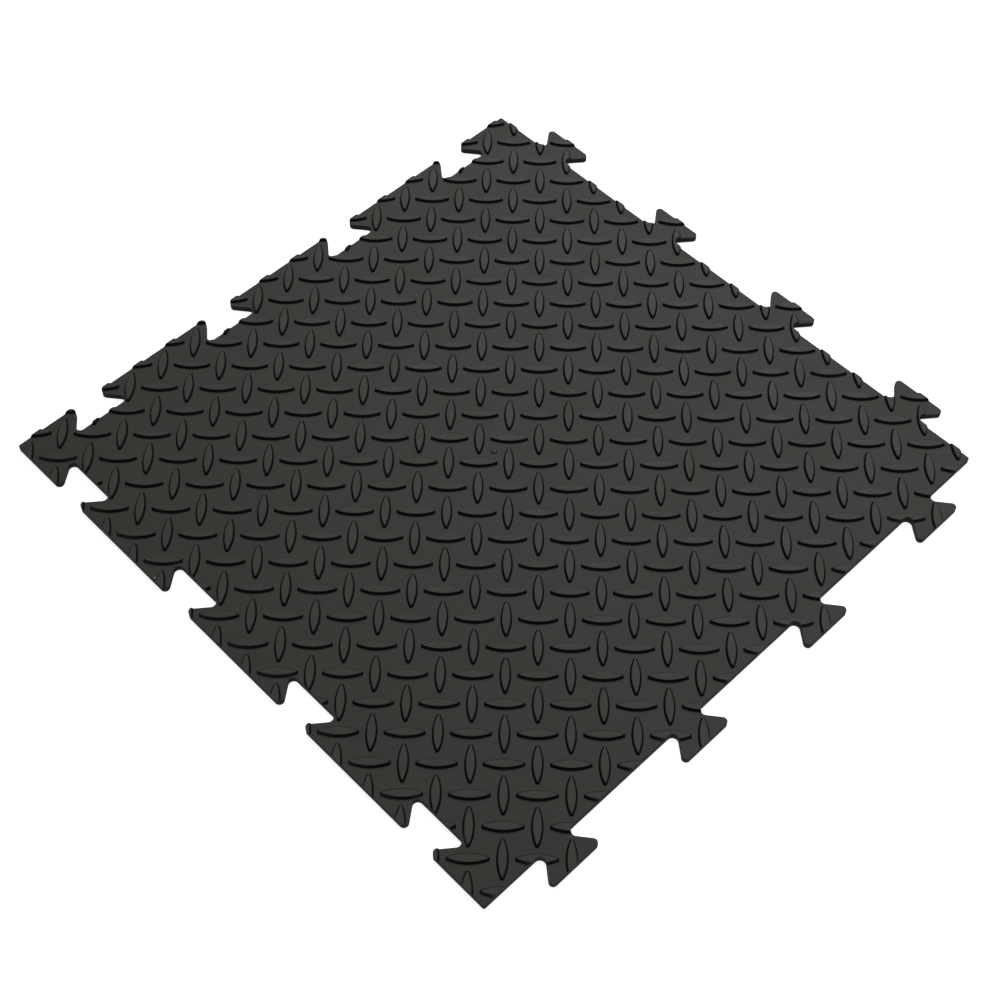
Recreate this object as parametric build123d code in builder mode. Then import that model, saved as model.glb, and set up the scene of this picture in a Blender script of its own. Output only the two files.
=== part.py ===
from build123d import *

import os
from math import atan2, cos, degrees, isclose, radians, tan

# Interlocking floor tile, moulded in one piece with a raised lozenge tread.
# Millimetres, +Z up. The origin is the centre of the square body, on its flat underside.
# Tabs stand out from the -Y and +X sides, and sockets are cut into the +Y and -X sides,
# so that a tile laid one module further along X or Y locks into this one.

# Body
module = 500.0             # from one laid tile to the next
joint_gap = 0.2            # left between the bodies of two laid tiles
plate_thickness = 5.0
corner_radius = 1.6

# Dovetail tabs
tabs_per_side = 4
tab_depth = 20.8
tab_root_width = 16.4      # between the flanks, where they meet the side before rounding
tab_flank_angle = 38.5     # degrees away from square to the side
tab_root_radius = 4.1
tab_tip_radius = 3.2
fit_clearance = 0.5        # between a tab and the socket that it lies in

# Tread
tread_pitch = 31.42        # from one lozenge to the next of the same direction, along X and Y
tread_height = 2.0
tread_shift_x = 0.7        # from the body's centre to the middle of a ring of four lozenges
tread_shift_y = 0.6
lozenge_length = 28.3
lozenge_width = 8.3
lozenge_end_width = 2.4    # across the blunt ends
lozenge_flank_run = 1.2    # how far a lozenge's flank leans in over its height
smallest_remnant = 3.0     # cubic millimetres of a trimmed lozenge that is still moulded
smallest_gap = 0.05        # between a whole lozenge and the tile's edge

# Gate mark, in the middle of the ring of lozenges nearest to the body's centre
gate_diameter = 5.4
gate_height = 0.8

body_side = module - joint_gap
half_side = body_side / 2
tab_pitch = module / tabs_per_side
tab_places = [(k - (tabs_per_side - 1) / 2) * tab_pitch for k in range(tabs_per_side)]

# The socket is the tab's outline grown by the clearance, as it lies in the next tile.
flank_lean = tan(radians(tab_flank_angle))
socket_depth = tab_depth - joint_gap + fit_clearance
socket_mouth_width = tab_root_width + 2 * (
    fit_clearance / cos(radians(tab_flank_angle)) + joint_gap * flank_lean
)
socket_mouth_radius = tab_root_radius - fit_clearance
socket_floor_radius = tab_tip_radius + fit_clearance


def dovetail(narrow_width, depth, far_radius):
    """Return a dovetail that hangs below Y = 0, narrow there and rounded at its far end."""
    with BuildSketch() as shape:
        Trapezoid(
            narrow_width + 2 * depth * flank_lean,
            depth,
            90 - tab_flank_angle,
            align=(Align.CENTER, Align.MAX),
        )
        fillet(shape.vertices().group_by(Axis.Y)[0], far_radius)
    return shape.sketch


def is_corner(vertex):
    """Say whether a vertex is a corner of the square body."""
    return isclose(abs(vertex.X), half_side) and isclose(abs(vertex.Y), half_side)


def is_root(vertex):
    """Say whether a vertex is where a tab's flank meets the body."""
    on_tab_side = isclose(vertex.Y, -half_side) or isclose(vertex.X, half_side)
    return on_tab_side and not is_corner(vertex)


def is_mouth(vertex):
    """Say whether a vertex is where a socket's flank meets the body's side."""
    on_socket_side = isclose(vertex.Y, half_side) or isclose(vertex.X, -half_side)
    return on_socket_side and not is_corner(vertex)


tab_outline = dovetail(tab_root_width, tab_depth, tab_tip_radius)
socket_outline = dovetail(socket_mouth_width, socket_depth, socket_floor_radius)

with BuildSketch() as outline:
    Rectangle(body_side, body_side)
    for place in tab_places:
        with Locations(Location((place, -half_side)), Location((half_side, place), (0, 0, 90))):
            add(tab_outline)
        with Locations(Location((place, half_side)), Location((-half_side, place), (0, 0, 90))):
            add(socket_outline, mode=Mode.SUBTRACT)
    fillet(outline.vertices().filter_by(is_root), tab_root_radius)
    fillet(outline.vertices().filter_by(is_mouth), socket_mouth_radius)
    fillet(outline.vertices().filter_by(is_corner), corner_radius)

with BuildSketch() as lozenge_foot:
    with BuildLine():
        end_x = lozenge_length / 2
        end_y = lozenge_end_width / 2
        ThreePointArc((-end_x, -end_y), (0, -lozenge_width / 2), (end_x, -end_y))
        Line((end_x, -end_y), (end_x, end_y))
        ThreePointArc((end_x, end_y), (0, lozenge_width / 2), (-end_x, end_y))
        Line((-end_x, end_y), (-end_x, -end_y))
    make_face()

with BuildPart() as lozenge:
    flank_slope = degrees(atan2(lozenge_flank_run, tread_height))
    extrude(lozenge_foot.sketch, amount=tread_height, taper=flank_slope)

# Lozenges lie on both diagonals in turn, and four of them ring each point of the lattice.
reach = int((half_side + tab_depth) / tread_pitch) + 1
tread_places = []
for column in range(-reach, reach + 1):
    for row in range(-reach, reach + 1):
        x = tread_shift_x + column * tread_pitch
        y = tread_shift_y + row * tread_pitch
        tread_places.append(Location((x + tread_pitch / 2, y, plate_thickness), (0, 0, -45)))
        tread_places.append(Location((x, y + tread_pitch / 2, plate_thickness), (0, 0, 45)))

edge_wire = outline.wire()
tile_face = outline.face()


def foot_centre(place):
    """Return the middle of a lozenge's foot, brought down to the outline's plane."""
    return Vector(place.position.X, place.position.Y, 0)


def crosses_edge(place):
    """Say whether a lozenge reaches over the tile's edge."""
    if edge_wire.distance_to(foot_centre(place)) > lozenge_length / 2:
        return False
    foot = lozenge_foot.sketch.moved(place).moved(Location((0, 0, -plate_thickness)))
    return foot.distance_to(edge_wire) < smallest_gap


# A lozenge that reaches over the edge is trimmed flush with it.
edge_places = []
inner_places = []
for place in tread_places:
    if crosses_edge(place):
        edge_places.append(place)
    elif tile_face.is_inside(foot_centre(place)):
        inner_places.append(place)

with BuildPart() as edge_tread:
    with Locations(*edge_places):
        add(lozenge.part, clean=False)
    with BuildSketch(Plane.XY.offset(plate_thickness)):
        add(outline.sketch)
    extrude(amount=tread_height, mode=Mode.INTERSECT, clean=False)

with BuildPart() as gate_mark:
    with Locations((tread_shift_x, tread_shift_y, plate_thickness)):
        Cylinder(gate_diameter / 2, gate_height, align=(Align.CENTER, Align.CENTER, Align.MIN))

inner_lozenges = [lozenge.solid().moved(place) for place in inner_places]
edge_lozenges = [piece for piece in edge_tread.solids() if piece.volume > smallest_remnant]

with BuildPart() as floor_tile:
    extrude(outline.sketch, amount=plate_thickness)
    add([*inner_lozenges, *edge_lozenges, gate_mark.solid()])

floor_tile.part.label = "floor_tile"
os.makedirs("parts", exist_ok=True)
export_step(floor_tile.part, "parts/floor_tile.step")
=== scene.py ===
"""Looks of a moulded interlocking floor tile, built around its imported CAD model."""

import logging
from dataclasses import dataclass, field
from enum import Enum
from math import asin, cos, pi, radians, sin, tan

import bmesh
import bpy
from mathutils import Matrix, Quaternion, Vector

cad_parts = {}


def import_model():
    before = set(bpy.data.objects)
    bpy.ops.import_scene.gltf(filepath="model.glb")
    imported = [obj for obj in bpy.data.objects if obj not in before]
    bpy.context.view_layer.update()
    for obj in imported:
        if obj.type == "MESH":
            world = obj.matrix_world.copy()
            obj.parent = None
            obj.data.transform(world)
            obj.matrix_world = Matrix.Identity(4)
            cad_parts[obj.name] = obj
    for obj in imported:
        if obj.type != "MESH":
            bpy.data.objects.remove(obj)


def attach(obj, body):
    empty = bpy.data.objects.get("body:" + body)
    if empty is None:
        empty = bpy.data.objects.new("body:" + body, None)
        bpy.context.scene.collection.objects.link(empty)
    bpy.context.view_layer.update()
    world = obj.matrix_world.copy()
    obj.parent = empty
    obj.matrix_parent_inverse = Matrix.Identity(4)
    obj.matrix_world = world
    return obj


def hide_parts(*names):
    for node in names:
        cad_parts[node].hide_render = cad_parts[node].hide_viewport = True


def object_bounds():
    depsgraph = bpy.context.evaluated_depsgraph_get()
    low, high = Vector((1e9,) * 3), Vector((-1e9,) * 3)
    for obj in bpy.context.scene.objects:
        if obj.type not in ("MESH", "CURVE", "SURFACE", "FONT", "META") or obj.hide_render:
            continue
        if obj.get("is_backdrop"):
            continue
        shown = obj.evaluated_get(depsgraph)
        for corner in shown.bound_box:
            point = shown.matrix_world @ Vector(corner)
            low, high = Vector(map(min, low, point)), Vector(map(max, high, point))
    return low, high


log = logging.getLogger("floor_tile")

MM = 0.001
TILE_NODE = "floor_tile"
PIECE_NAME = "moulded_tile"
LEVEL = 1e-7  # metres; two heights that differ by less are the same
DOWNWARD = -0.9  # a face whose normal has a lower Z looks straight down
BEHIND = 45.0  # degrees from +X to what lies behind the tile as the camera sees it


class Diagonal(Enum):
    """The two directions in which the lozenges of the tread lie, as an angle from +X."""

    FALLING = -45.0
    RISING = 45.0


class Cut(Enum):
    """How one closed mesh is joined with or trimmed by another."""

    JOIN = "UNION"
    TRIM = "INTERSECT"


@dataclass(frozen=True)
class Corner:
    """A corner of an outline with the radius that rounds it, in metres."""

    x: float
    y: float
    radius: float

    @property
    def point(self) -> Vector:
        """Return the sharp corner as a point on the ground plane."""
        return Vector((self.x, self.y, 0.0))


def new_object(name: str, mesh: bmesh.types.BMesh) -> bpy.types.Object:
    """Turn a finished bmesh into an object at the origin.

    Args:
        name: The object's name.
        mesh: The bmesh, which is freed.

    Returns:
        The new object, linked to the scene.
    """
    data = bpy.data.meshes.new(name)
    mesh.to_mesh(data)
    mesh.free()
    made = bpy.data.objects.new(name, data)
    bpy.context.scene.collection.objects.link(made)
    return made


def combine(body: bpy.types.Object, tool: bpy.types.Object, cut: Cut) -> None:
    """Join a closed mesh with another one, or trim it, and remove the other one.

    Args:
        body: The object that is changed.
        tool: The object that is used up.
        cut: Whether the two are joined or the body is trimmed by the tool.
    """
    modifier = body.modifiers.new(cut.name.lower(), "BOOLEAN")
    modifier.operation = cut.value
    modifier.solver = "MANIFOLD"
    modifier.object = tool
    graph = bpy.context.evaluated_depsgraph_get()
    result = bpy.data.meshes.new_from_object(body.evaluated_get(graph), depsgraph=graph)
    body.modifiers.clear()
    body.data = result
    bpy.data.objects.remove(tool)


def trace_outline(corners: list[Corner], steps_per_turn: int) -> bmesh.types.BMesh:
    """Draw a closed outline whose corners are true arcs, and fill it with one face.

    Args:
        corners: The sharp corners in order, counter-clockwise seen from above.
        steps_per_turn: How many edges a full circle would have.

    Returns:
        A bmesh with the filled outline at Z = 0.
    """
    mesh = bmesh.new()
    starts = []
    ends = []
    for index, corner in enumerate(corners):
        back = (corners[index - 1].point - corner.point).normalized()
        ahead = (corners[(index + 1) % len(corners)].point - corner.point).normalized()
        turn = pi - back.angle(ahead)
        side = 1.0 if ahead.cross(back).z > 0 else -1.0
        start = corner.point + back * corner.radius * tan(turn / 2)
        inward = Vector((back.y, -back.x, 0.0)) * side
        first = bmesh.ops.create_vert(mesh, co=start)["vert"][0]
        spun = bmesh.ops.spin(
            mesh,
            geom=[first],
            cent=start + inward * corner.radius,
            axis=(0.0, 0.0, side),
            angle=turn,
            steps=max(2, round(steps_per_turn * turn / (2 * pi))),
            use_duplicate=False,
        )
        starts.append(first)
        ends.append(next(item for item in spun["geom_last"] if isinstance(item, bmesh.types.BMVert)))
    for index, end in enumerate(ends):
        mesh.edges.new((end, starts[(index + 1) % len(starts)]))
    fill_outline(mesh)
    return mesh


def fill_outline(mesh: bmesh.types.BMesh) -> None:
    """Fill a closed ring of edges at Z = 0 with one face that looks up.

    Args:
        mesh: The bmesh that holds the ring and nothing else.
    """
    bmesh.ops.contextual_create(mesh, geom=mesh.edges[:])
    bmesh.ops.recalc_face_normals(mesh, faces=mesh.faces[:])
    if mesh.faces[:][0].normal.z < 0:
        bmesh.ops.reverse_faces(mesh, faces=mesh.faces[:])


def raise_face(mesh: bmesh.types.BMesh, low: float, high: float) -> None:
    """Turn a filled outline at Z = 0 into a closed block.

    Args:
        mesh: The bmesh that holds the outline.
        low: The block's underside.
        high: The block's top.
    """
    bmesh.ops.translate(mesh, verts=mesh.verts[:], vec=(0.0, 0.0, low))
    lifted = bmesh.ops.extrude_face_region(mesh, geom=mesh.faces[:])["geom"]
    top = [item for item in lifted if isinstance(item, bmesh.types.BMVert)]
    bmesh.ops.translate(mesh, verts=top, vec=(0.0, 0.0, high - low))
    bmesh.ops.recalc_face_normals(mesh, faces=mesh.faces[:])


def soften(mesh: bmesh.types.BMesh, edges: list[bmesh.types.BMEdge], offset: float) -> None:
    """Round sharp edges off a little, as moulding leaves them.

    Args:
        mesh: The bmesh that holds the edges.
        edges: The sharp edges.
        offset: How far the rounding reaches from an edge.
    """
    bmesh.ops.bevel(
        mesh, geom=edges, offset=offset, segments=2, profile=0.5, affect="EDGES", material=-1
    )


def raise_top(mesh: bmesh.types.BMesh, flank_run: float, height: float, softness: float) -> None:
    """Raise a block's top face between sloped flanks, and soften its rim.

    Args:
        mesh: The block.
        flank_run: How far the flanks lean in.
        height: How far the face is raised.
        softness: How far the rim's rounding reaches.
    """
    top = max(mesh.faces, key=lambda face: face.calc_center_median().z)
    bmesh.ops.inset_region(mesh, faces=[top], thickness=flank_run, depth=height, use_even_offset=True)
    soften(mesh, top.edges[:], softness)


def grow_shell(unseen: set[bmesh.types.BMFace]) -> list[bmesh.types.BMFace]:
    """Take one closed shell out of a set of faces.

    Args:
        unseen: Faces that no shell has taken yet; those of the shell are removed.

    Returns:
        The shell's faces.
    """
    front = [unseen.pop()]
    shell = []
    while front:
        face = front.pop()
        shell.append(face)
        for edge in face.edges:
            fresh = [item for item in edge.link_faces if item in unseen]
            unseen.difference_update(fresh)
            front.extend(fresh)
    return shell


def shell_volume(shell: list[bmesh.types.BMFace]) -> float:
    """Return the volume inside a closed shell of flat faces, in cubic metres."""
    total = 0.0
    for face in shell:
        apex, *others = [vert.co for vert in face.verts]
        for first, second in zip(others, others[1:]):
            total += apex.dot(first.cross(second)) / 6
    return total


@dataclass
class TilePlate:
    """The flat plate with its dovetail tabs and sockets."""

    half_side: float
    thickness: float = 5.0 * MM
    corner_radius: float = 1.6 * MM
    tab_pitch: float = 125.0 * MM
    tabs_per_side: int = 4
    tab_depth: float = 20.8 * MM
    tab_root_width: float = 16.4 * MM
    flank_angle: float = radians(38.5)
    tab_root_radius: float = 4.1 * MM
    tab_tip_radius: float = 3.2 * MM
    fit_clearance: float = 0.5 * MM
    joint_gap: float = 0.2 * MM
    edge_softness: float = 0.3 * MM
    steps_per_turn: int = 36

    @property
    def places(self) -> list[float]:
        """Return where the tabs stand along a side, in order."""
        middle = (self.tabs_per_side - 1) / 2
        return [(index - middle) * self.tab_pitch for index in range(self.tabs_per_side)]

    def dovetails(self, narrow: float, depth: float, near: float, far: float) -> list[Corner]:
        """Return the corners of a side's dovetails, which hang below Y = 0, from -X to +X.

        Args:
            narrow: Width between the flanks where they meet the side.
            depth: How far the dovetail reaches below the side.
            near: Radius of the corners on the side.
            far: Radius of the corners at the far end.

        Returns:
            Four corners for each dovetail.
        """
        wide = narrow + 2 * depth * tan(self.flank_angle)
        corners = []
        for place in self.places:
            corners.append(Corner(place - narrow / 2, 0.0, near))
            corners.append(Corner(place - wide / 2, -depth, far))
            corners.append(Corner(place + wide / 2, -depth, far))
            corners.append(Corner(place + narrow / 2, 0.0, near))
        return corners

    def outline(self) -> list[Corner]:
        """Return the whole outline, counter-clockwise from the -X, -Y corner."""
        tabs = self.dovetails(
            self.tab_root_width,
            self.tab_depth,
            self.tab_root_radius,
            self.tab_tip_radius,
        )
        mouth = self.tab_root_width + 2 * (
            self.fit_clearance / cos(self.flank_angle) + self.joint_gap * tan(self.flank_angle)
        )
        sockets = self.dovetails(
            mouth,
            self.tab_depth - self.joint_gap + self.fit_clearance,
            self.tab_root_radius - self.fit_clearance,
            self.tab_tip_radius + self.fit_clearance,
        )
        half = self.half_side
        rounding = self.corner_radius
        return [
            Corner(-half, -half, rounding),
            *[Corner(c.x, c.y - half, c.radius) for c in tabs],
            Corner(half, -half, rounding),
            *[Corner(half - c.y, c.x, c.radius) for c in tabs],
            Corner(half, half, rounding),
            *[Corner(c.x, half + c.y, c.radius) for c in reversed(sockets)],
            Corner(-half, half, rounding),
            *[Corner(-half - c.y, c.x, c.radius) for c in reversed(sockets)],
        ]

    def block(self, low: float, high: float) -> bmesh.types.BMesh:
        """Return the outline raised to a block with sharp edges.

        Args:
            low: The block's underside.
            high: The block's top.

        Returns:
            A closed bmesh.
        """
        mesh = trace_outline(self.outline(), self.steps_per_turn)
        raise_face(mesh, low, high)
        return mesh

    def build(self) -> bpy.types.Object:
        """Return the plate with its moulded edges softened."""
        mesh = self.block(0.0, self.thickness)
        rim = [edge for edge in mesh.edges if abs(edge.verts[0].co.z - edge.verts[1].co.z) < LEVEL]
        soften(mesh, rim, self.edge_softness)
        return new_object("plate", mesh)

    def trimmer(self, low: float, high: float) -> bpy.types.Object:
        """Return a block that trims what lies on the plate flush with its edge."""
        return new_object("trimmer", self.block(low, high))


@dataclass
class LozengeTread:
    """The raised lozenges, which lie on both diagonals in turn."""

    floor: float
    height: float
    reach: float
    pitch: float = 31.42 * MM
    shift_x: float = 0.7 * MM
    shift_y: float = 0.6 * MM
    length: float = 28.3 * MM
    width: float = 8.3 * MM
    end_width: float = 2.4 * MM
    flank_run: float = 1.2 * MM
    rim_softness: float = 0.4 * MM
    root_depth: float = 0.8 * MM
    trim_reach: float = 4.0 * MM
    arc_steps: int = 8
    smallest_remnant: float = 3.0 * MM**3

    def lozenge(self) -> bmesh.types.BMesh:
        """Return one lozenge that lies along X, with its root sunk below the plate's face."""
        rise = (self.width - self.end_width) / 2
        radius = ((self.length / 2) ** 2 + rise**2) / (2 * rise)
        drop = radius - self.width / 2
        sweep = 2 * asin(self.length / 2 / radius)
        mesh = bmesh.new()
        ends = []
        for side in (-1.0, 1.0):
            corner = (side * self.length / 2, side * self.end_width / 2, 0.0)
            first = bmesh.ops.create_vert(mesh, co=corner)["vert"]
            spun = bmesh.ops.spin(
                mesh,
                geom=first,
                cent=(0.0, -side * drop, 0.0),
                axis=(0.0, 0.0, 1.0),
                angle=sweep,
                steps=self.arc_steps,
                use_duplicate=False,
            )
            ends.append(first[0])
            ends.extend(item for item in spun["geom_last"] if isinstance(item, bmesh.types.BMVert))
        mesh.edges.new((ends[1], ends[2]))
        mesh.edges.new((ends[3], ends[0]))
        fill_outline(mesh)
        raise_face(mesh, -self.root_depth, 0.0)
        raise_top(mesh, self.flank_run, self.height, self.rim_softness)
        bmesh.ops.translate(mesh, verts=mesh.verts[:], vec=(0.0, 0.0, self.floor))
        return mesh

    def places(self) -> list[Matrix]:
        """Return where every lozenge lies, some of them past the tile's edge."""
        count = int(self.reach / self.pitch) + 1
        found = []
        for column in range(-count, count + 1):
            for row in range(-count, count + 1):
                x = self.shift_x + column * self.pitch
                y = self.shift_y + row * self.pitch
                for diagonal in Diagonal:
                    falling = diagonal is Diagonal.FALLING
                    centre = (x + self.pitch / 2, y, 0.0) if falling else (x, y + self.pitch / 2, 0.0)
                    turned = Matrix.Rotation(radians(diagonal.value), 4, "Z")
                    found.append(Matrix.Translation(centre) @ turned)
        return found

    def build(self, plate: TilePlate) -> bpy.types.Object:
        """Return all the lozenges as one object, trimmed flush with the plate's edge.

        Args:
            plate: The plate that the tread lies on.

        Returns:
            The tread as closed shells whose roots are sunk in the plate.
        """
        pattern = self.lozenge()
        tread = bmesh.new()
        data = bpy.data.meshes.new("lozenge")
        pattern.to_mesh(data)
        pattern.free()
        for place in self.places():
            first = len(tread.verts)
            tread.from_mesh(data)
            tread.verts.ensure_lookup_table()
            bmesh.ops.transform(tread, matrix=place, verts=tread.verts[first:])
        bpy.data.meshes.remove(data)
        made = new_object("tread", tread)
        trimmer = plate.trimmer(self.floor - self.trim_reach, self.floor + self.trim_reach)
        combine(made, trimmer, Cut.TRIM)
        self.drop_remnants(made.data)
        return made

    def drop_remnants(self, data: bpy.types.Mesh) -> None:
        """Remove the slivers that trimming leaves and that are too small to be moulded.

        Args:
            data: The trimmed lozenges as closed shells, changed in place.
        """
        mesh = bmesh.new()
        mesh.from_mesh(data)
        unseen = set(mesh.faces)
        doomed = []
        while unseen:
            shell = grow_shell(unseen)
            root = sum(face.calc_area() for face in shell if face.normal.z < DOWNWARD)
            if shell_volume(shell) - root * self.root_depth < self.smallest_remnant:
                doomed.extend(shell)
        bmesh.ops.delete(mesh, geom=doomed, context="FACES")
        mesh.to_mesh(data)
        mesh.free()


@dataclass
class GateMark:
    """The small raised disc where the mould was filled."""

    floor: float
    x: float
    y: float
    diameter: float = 5.4 * MM
    height: float = 0.8 * MM
    flank_run: float = 0.45 * MM
    root_depth: float = 0.8 * MM
    softness: float = 0.15 * MM
    steps_per_turn: int = 28

    def build(self) -> bpy.types.Object:
        """Return the disc, sunk a little into the plate's face."""
        mesh = bmesh.new()
        radius = self.diameter / 2
        bmesh.ops.create_circle(mesh, cap_ends=True, segments=self.steps_per_turn, radius=radius)
        raise_face(mesh, -self.root_depth, 0.0)
        raise_top(mesh, self.flank_run, self.height, self.softness)
        bmesh.ops.translate(mesh, verts=mesh.verts[:], vec=(self.x, self.y, self.floor))
        return new_object("gate_mark", mesh)


@dataclass
class Shade:
    """A shader number or colour socket, so that shader maths reads as Python."""

    graph: "ShaderGraph"
    socket: bpy.types.NodeSocket

    def _math(self, operation: str, first: object, second: object) -> "Shade":
        """Return the result of a Math node on two values."""
        made = self.graph.node("ShaderNodeMath", {"operation": operation}, {0: first, 1: second})
        return Shade(self.graph, made.outputs[0])

    def __add__(self, other: object) -> "Shade":
        """Add a number or another socket."""
        return self._math("ADD", self, other)

    def __radd__(self, other: object) -> "Shade":
        """Add this socket to a number."""
        return self._math("ADD", other, self)

    def __sub__(self, other: object) -> "Shade":
        """Take a number or another socket away."""
        return self._math("SUBTRACT", self, other)

    def __rsub__(self, other: object) -> "Shade":
        """Take this socket away from a number."""
        return self._math("SUBTRACT", other, self)

    def __mul__(self, other: object) -> "Shade":
        """Multiply by a number or another socket."""
        return self._math("MULTIPLY", self, other)

    def __rmul__(self, other: object) -> "Shade":
        """Multiply a number by this socket."""
        return self._math("MULTIPLY", other, self)

    def over(self, low: float, high: float) -> "Shade":
        """Return a smooth step that goes from 0 at low to 1 at high."""
        made = self.graph.node(
            "ShaderNodeMapRange",
            {"interpolation_type": "SMOOTHSTEP"},
            {"Value": self, "From Min": low, "From Max": high},
        )
        return Shade(self.graph, made.outputs["Result"])


class ShaderGraph:
    """The node tree of one material."""

    def __init__(self, name: str) -> None:
        """Make an empty material.

        Args:
            name: The material's name.
        """
        self.material = bpy.data.materials.new(name)
        self.material.use_nodes = True
        self.tree = self.material.node_tree
        self.tree.nodes.clear()

    def node(
        self, kind: str, settings: dict[str, object], inputs: dict[object, object]
    ) -> bpy.types.Node:
        """Add a node, set what it is set to, and feed its sockets.

        Args:
            kind: The node's type.
            settings: Its own settings by name, set before the sockets are fed.
            inputs: A value, a Shade or a socket for each input, by name or number.

        Returns:
            The new node.
        """
        made = self.tree.nodes.new(kind)
        for name, value in settings.items():
            setattr(made, name, value)
        for name, value in inputs.items():
            source = value.socket if isinstance(value, Shade) else value
            if isinstance(source, bpy.types.NodeSocket):
                self.tree.links.new(source, made.inputs[name])
            else:
                made.inputs[name].default_value = source
        return made

    def noise(self, where: bpy.types.NodeSocket, scale: float, detail: float) -> Shade:
        """Return a noise with features about 1 / scale metres across."""
        inputs = {"Vector": where, "Scale": scale, "Detail": detail, "Roughness": 0.55}
        return Shade(self, self.node("ShaderNodeTexNoise", {}, inputs).outputs[0])

    def blend(self, share: Shade, low: object, high: object) -> bpy.types.NodeSocket:
        """Return a colour that goes from low to high with share."""
        made = self.node("ShaderNodeMix", {"data_type": "RGBA"}, {0: share, 6: low, 7: high})
        return made.outputs[2]


@dataclass(frozen=True)
class CharcoalPvc:
    """Satin charcoal PVC with faint mottling, painted shade darkening the flanks and walls, and a fine
    moulded grain.
    """

    plate_top: float
    tread_top: float
    plate_dark: tuple[float, ...] = (0.041, 0.038, 0.0325, 1.0)
    plate_light: tuple[float, ...] = (0.054, 0.0505, 0.043, 1.0)
    worn_top: tuple[float, ...] = (0.058, 0.055, 0.047, 1.0)
    # painted shade: the near-black colour painted on the flanks and walls, standing in for the shade they
    # fall in
    painted_flank_shade: tuple[float, ...] = (0.0045, 0.0042, 0.004, 1.0)
    speck: tuple[float, ...] = (0.62, 0.61, 0.58, 1.0)
    specks: tuple[tuple[float, float], ...] = ((-196.6 * MM, -244.0 * MM), (-247.9 * MM, 87.7 * MM))
    speck_radius: float = 0.6 * MM
    satin: float = 0.55
    specular: float = 0.3
    cloud_scale: float = 22.0
    freckle_scale: float = 620.0
    grain_scale: float = 1500.0
    pebble_scale: float = 420.0
    grain_depth: float = 0.03 * MM
    grain_strength: float = 0.35
    cloud_share: float = 0.7
    worn_share: float = 0.6
    # how far the painted shade darkens the flanks and the walls
    flank_shade_share: float = 0.97
    wall_shade_share: float = 0.75

    def upward(self, graph: ShaderGraph) -> Shade:
        """Return how far the surface faces up: 1 on the flats, 0 on the walls and -1 below."""
        geometry = graph.node("ShaderNodeNewGeometry", {}, {})
        parts = graph.node("ShaderNodeSeparateXYZ", {}, {0: geometry.outputs["True Normal"]})
        return Shade(graph, parts.outputs["Z"])

    def speck_mask(self, graph: ShaderGraph, where: bpy.types.NodeSocket) -> Shade:
        """Return the small pale specks of dust that lie on the plate."""
        total = 0.0
        for x, y in self.specks:
            gap = graph.node(
                "ShaderNodeVectorMath",
                {"operation": "DISTANCE"},
                {0: where, 1: (x, y, self.plate_top)},
            )
            distance = Shade(graph, gap.outputs["Value"])
            total = total + (1.0 - distance.over(self.speck_radius / 2, self.speck_radius))
        return total

    def build(self) -> bpy.types.Material:
        """Return the finished material."""
        graph = ShaderGraph("charcoal_pvc")
        where = graph.node("ShaderNodeTexCoord", {}, {}).outputs["Object"]
        parts = graph.node("ShaderNodeSeparateXYZ", {}, {0: where})
        height = Shade(graph, parts.outputs["Z"])
        cloud = graph.noise(where, self.cloud_scale, 4.0).over(0.3, 0.7)
        freckle = graph.noise(where, self.freckle_scale, 2.0).over(0.25, 0.75)
        upward = self.upward(graph)
        # masks of the sloped flanks and the walls, found from their facing; both carry painted shade in the
        # colour, and the walls also get a rougher finish
        painted_flank_shade = upward.over(0.2, 0.5) * (1.0 - upward.over(0.92, 0.985))
        wall_shade_and_matte = upward.over(-0.5, -0.2) * (1.0 - upward.over(0.2, 0.5))
        worn = height.over((self.plate_top + self.tread_top) / 2, self.tread_top - 0.1 * MM)
        mottle = cloud * self.cloud_share + freckle * (1.0 - self.cloud_share)
        colour = graph.blend(mottle, self.plate_dark, self.plate_light)
        colour = graph.blend(worn * self.worn_share, colour, self.worn_top)
        # painted shade: the flanks and walls are darkened in the base colour, standing in for the shade
        # they fall in
        colour = graph.blend(painted_flank_shade * self.flank_shade_share + wall_shade_and_matte * self.wall_shade_share, colour, self.painted_flank_shade)
        colour = graph.blend(self.speck_mask(graph, where), colour, self.speck)
        gloss = self.satin + (cloud - 0.5) * 0.06 + (freckle - 0.5) * 0.08 - worn * 0.03 + wall_shade_and_matte * 0.3
        grain = graph.noise(where, self.grain_scale, 3.0) + graph.noise(where, self.pebble_scale, 2.0) * 0.6
        bump = graph.node(
            "ShaderNodeBump",
            {},
            {"Strength": self.grain_strength, "Distance": self.grain_depth, "Height": grain},
        )
        shader = graph.node(
            "ShaderNodeBsdfPrincipled",
            {},
            {
                "Base Color": colour,
                "Roughness": gloss,
                "Normal": bump.outputs[0],
                "IOR": 1.5,
                "Specular IOR Level": self.specular,
            },
        )
        graph.node("ShaderNodeOutputMaterial", {}, {"Surface": shader.outputs[0]})
        return graph.material


@dataclass
class FloorTile:
    """The whole tile as one moulding."""

    plate: TilePlate
    tread: LozengeTread
    gate: GateMark
    finish: CharcoalPvc
    sharp_angle: float = radians(24.0)

    def build(self) -> bpy.types.Object:
        """Return the finished tile, which stands for the CAD node."""
        tile = self.plate.build()
        tile.name = PIECE_NAME
        combine(tile, self.tread.build(self.plate), Cut.JOIN)
        combine(tile, self.gate.build(), Cut.JOIN)
        self.smooth(tile)
        tile.data.materials.clear()
        tile.data.materials.append(self.finish.build())
        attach(tile, "root")
        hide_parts(TILE_NODE)
        return tile

    def smooth(self, tile: bpy.types.Object) -> None:
        """Shade the softened edges smooth, with the flats kept flat."""
        mesh = tile.data
        mesh.polygons.foreach_set("use_smooth", [True] * len(mesh.polygons))
        mesh.set_sharp_from_angle(angle=self.sharp_angle)
        weighted = tile.modifiers.new("weighted", "WEIGHTED_NORMAL")
        weighted.keep_sharp = True


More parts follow.
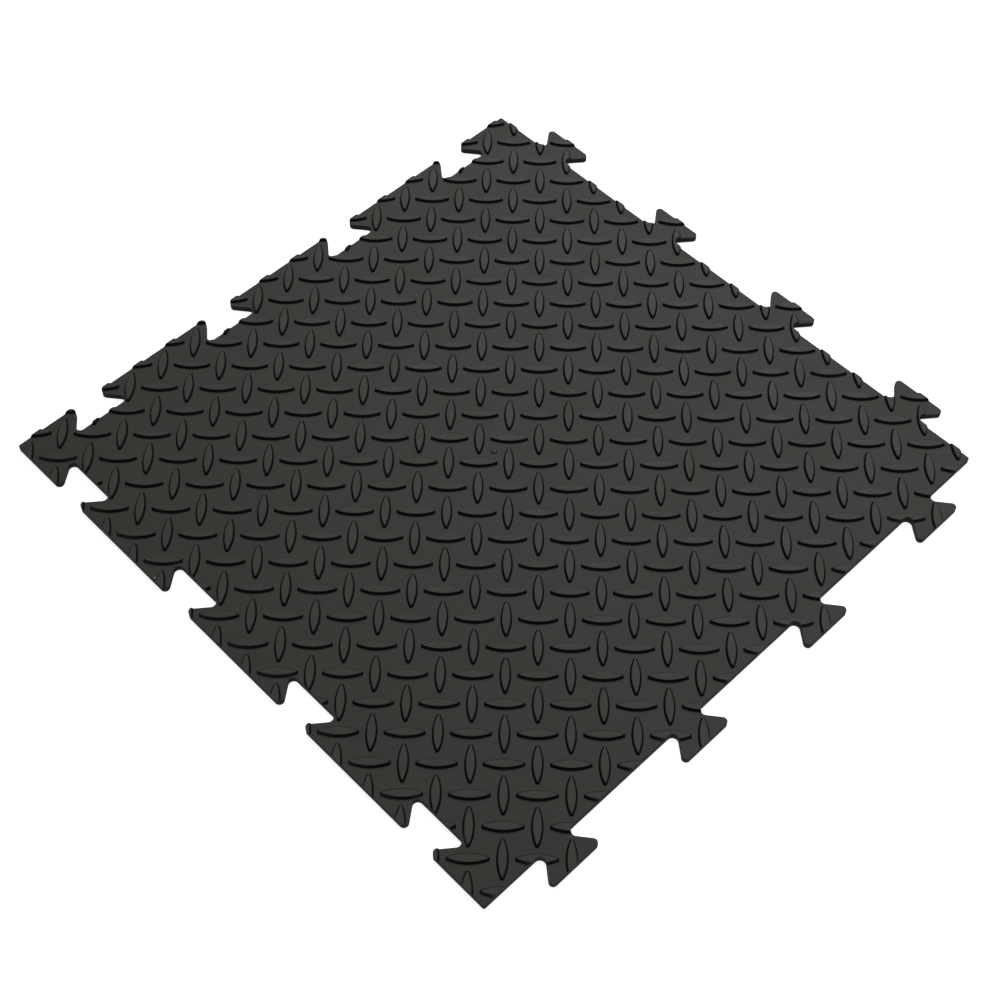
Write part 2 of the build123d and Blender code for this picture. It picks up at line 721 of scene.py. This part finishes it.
@dataclass
class PhotoCamera:
    """A camera that stands where the photograph's did, worked out from the tile's own lattice."""

    place: tuple[float, ...] = (-529.20 * MM, -552.85 * MM, 1061.97 * MM)
    aim: tuple[float, ...] = (-18.61 * MM, -42.11 * MM, 5.0 * MM)
    roll: float = radians(0.733)
    lens: float = 63.24
    sensor: float = 36.0
    shift_x: float = -0.0156

    def build(self) -> bpy.types.Object:
        """Return the camera, set as the scene's own."""
        data = bpy.data.cameras.new("photo_camera")
        data.lens = self.lens
        data.sensor_width = self.sensor
        data.shift_x = self.shift_x
        made = bpy.data.objects.new("photo_camera", data)
        made.location = self.place
        forward = Vector(self.aim) - Vector(self.place)
        made.rotation_mode = "QUATERNION"
        made.rotation_quaternion = forward.to_track_quat("-Z", "Y") @ Quaternion((0, 0, 1), self.roll)
        bpy.context.scene.collection.objects.link(made)
        bpy.context.scene.camera = made
        return made


@dataclass
class Softbox:
    """A soft rectangular lamp aimed at the tile."""

    name: str
    azimuth: float
    elevation: float
    distance: float
    width: float
    depth: float
    watts: float

    def build(self) -> None:
        """Hang the lamp; azimuth 0 is behind the tile as the camera sees it, and 90 to its right."""
        data = bpy.data.lights.new(self.name, "AREA")
        data.shape = "RECTANGLE"
        data.size = self.width
        data.size_y = self.depth
        data.energy = self.watts
        turn = radians(BEHIND - self.azimuth)
        rise = radians(self.elevation)
        place = Vector((cos(turn) * cos(rise), sin(turn) * cos(rise), sin(rise))) * self.distance
        made = bpy.data.objects.new(self.name, data)
        made.location = place
        made.rotation_mode = "QUATERNION"
        made.rotation_quaternion = (-place).to_track_quat("-Z", "Y")
        bpy.context.scene.collection.objects.link(made)


@dataclass
class Studio:
    """The pale floor, the lamps and the dim surroundings."""

    floor_half: float = 6.0
    floor_drop: float = 0.05 * MM
    floor_colour: tuple[float, ...] = (0.80, 0.80, 0.80, 1.0)
    floor_glow: float = 0.85
    floor_roughness: float = 0.9
    surroundings: float = 0.1
    lamps: list[Softbox] = field(
        default_factory=lambda: [
            Softbox("back_softbox", 12.0, 45.0, 4.6, 3.4, 1.8, 82.0),
            Softbox("top_softbox", 60.0, 74.0, 3.6, 2.4, 2.4, 24.0),
        ]
    )

    def floor_finish(self) -> bpy.types.Material:
        """Return white paper that the camera and reflections see as white, with a faint shadow."""
        graph = ShaderGraph("white_paper")
        path = graph.node("ShaderNodeLightPath", {}, {})
        seen = Shade(graph, path.outputs["Is Camera Ray"]) + Shade(graph, path.outputs["Is Glossy Ray"])
        seen = seen + Shade(graph, path.outputs["Is Transmission Ray"])
        shader = graph.node(
            "ShaderNodeBsdfPrincipled",
            {},
            {
                "Base Color": self.floor_colour,
                "Roughness": self.floor_roughness,
                "Emission Color": graph.blend(seen, (0.0, 0.0, 0.0, 1.0), (1.0, 1.0, 1.0, 1.0)),
                "Emission Strength": self.floor_glow,
            },
        )
        graph.node("ShaderNodeOutputMaterial", {}, {"Surface": shader.outputs[0]})
        return graph.material

    def build(self) -> None:
        """Lay the floor, hang the lamps and set the surroundings."""
        mesh = bmesh.new()
        bmesh.ops.create_grid(mesh, x_segments=1, y_segments=1, size=self.floor_half)
        bmesh.ops.translate(mesh, verts=mesh.verts[:], vec=(0.0, 0.0, -self.floor_drop))
        floor = new_object("studio_floor", mesh)
        floor.data.materials.append(self.floor_finish())
        floor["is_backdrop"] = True
        for lamp in self.lamps:
            lamp.build()
        scene = bpy.context.scene
        scene.world = bpy.data.worlds.new("surroundings")
        scene.world.use_nodes = True
        background = scene.world.node_tree.nodes["Background"]
        background.inputs["Color"].default_value = (1.0, 1.0, 1.0, 1.0)
        background.inputs["Strength"].default_value = self.surroundings
        scene.view_settings.view_transform = "Standard"


def main() -> None:
    """Load the frame, build the tile and the studio, and keep the sizes."""
    logging.basicConfig(level=logging.INFO)
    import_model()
    cad_low, cad_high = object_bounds()
    plate = TilePlate(half_side=-cad_low.x)
    tread = LozengeTread(floor=plate.thickness, height=cad_high.z - plate.thickness, reach=cad_high.x)
    gate = GateMark(floor=plate.thickness, x=tread.shift_x, y=tread.shift_y)
    finish = CharcoalPvc(plate_top=plate.thickness, tread_top=cad_high.z)
    tile = FloorTile(plate, tread, gate, finish).build()
    log.info("%s: %d faces", tile.name, len(tile.data.polygons))
    Studio().build()
    PhotoCamera().build()


if __name__ == "__main__":
    main()
